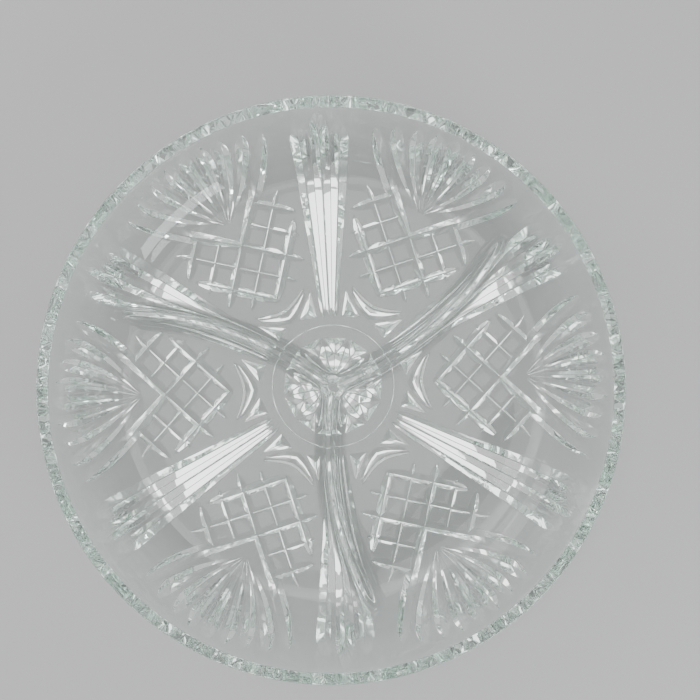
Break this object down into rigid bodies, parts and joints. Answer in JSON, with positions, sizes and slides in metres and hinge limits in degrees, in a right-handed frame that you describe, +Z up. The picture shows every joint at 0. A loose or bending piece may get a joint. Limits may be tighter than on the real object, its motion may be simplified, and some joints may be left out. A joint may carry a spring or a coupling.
{
  "type": "divided serving dish",
  "caption": "Shallow round serving dish of clear pressed glass with curved low dividers, a flat base and a cut-glass style relief on its underside.",
  "frame": {"origin": "centre of the flat face that the dish stands on", "axes": "+Z up through the middle of the dish, +X level, with a divider at 33 degrees from +X towards +Y and the others 120 degrees on"},
  "size_m": [0.24, 0.24, 0.036],
  "materials": {
    "clear_glass": "gloss"
  },
  "bodies": {
    "root": {"dish": "clear_glass"}
  },
  "joints": []
}
